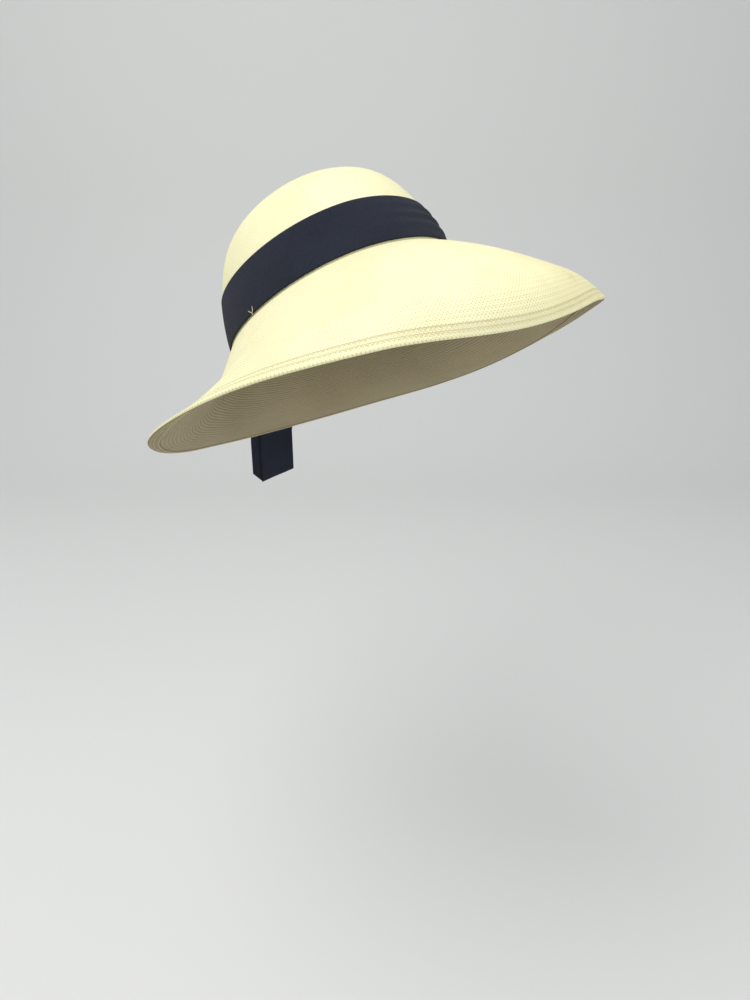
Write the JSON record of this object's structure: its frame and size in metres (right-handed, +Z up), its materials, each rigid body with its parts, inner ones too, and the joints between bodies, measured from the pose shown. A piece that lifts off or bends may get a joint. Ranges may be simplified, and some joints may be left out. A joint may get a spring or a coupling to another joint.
{
  "type": "wide-brimmed straw hat",
  "caption": "Fine woven straw hat with a domed crown, a wide brim that slopes down, a dark ribbon round the crown and ribbon tails at the back.",
  "frame": {"origin": "middle of the head opening, at the foot of the crown, where the hat sits on a head", "axes": "+Z up and -Y to the front as the hat is worn, tipped back, and +X to the wearer's left"},
  "size_m": [0.3717, 0.3387, 0.2919],
  "materials": {
    "straw": "matt woven straw",
    "band_ribbon": "ribbed ribbon",
    "knot_ribbon": "ribbed ribbon",
    "left_tail_ribbon": "ribbed ribbon",
    "right_tail_ribbon": "ribbed ribbon"
  },
  "bodies": {
    "root": {"straw_hat": "straw", "hat_band": "band_ribbon", "ribbon_knot": "knot_ribbon", "tail_left": "left_tail_ribbon", "tail_right": "right_tail_ribbon"}
  },
  "joints": []
}
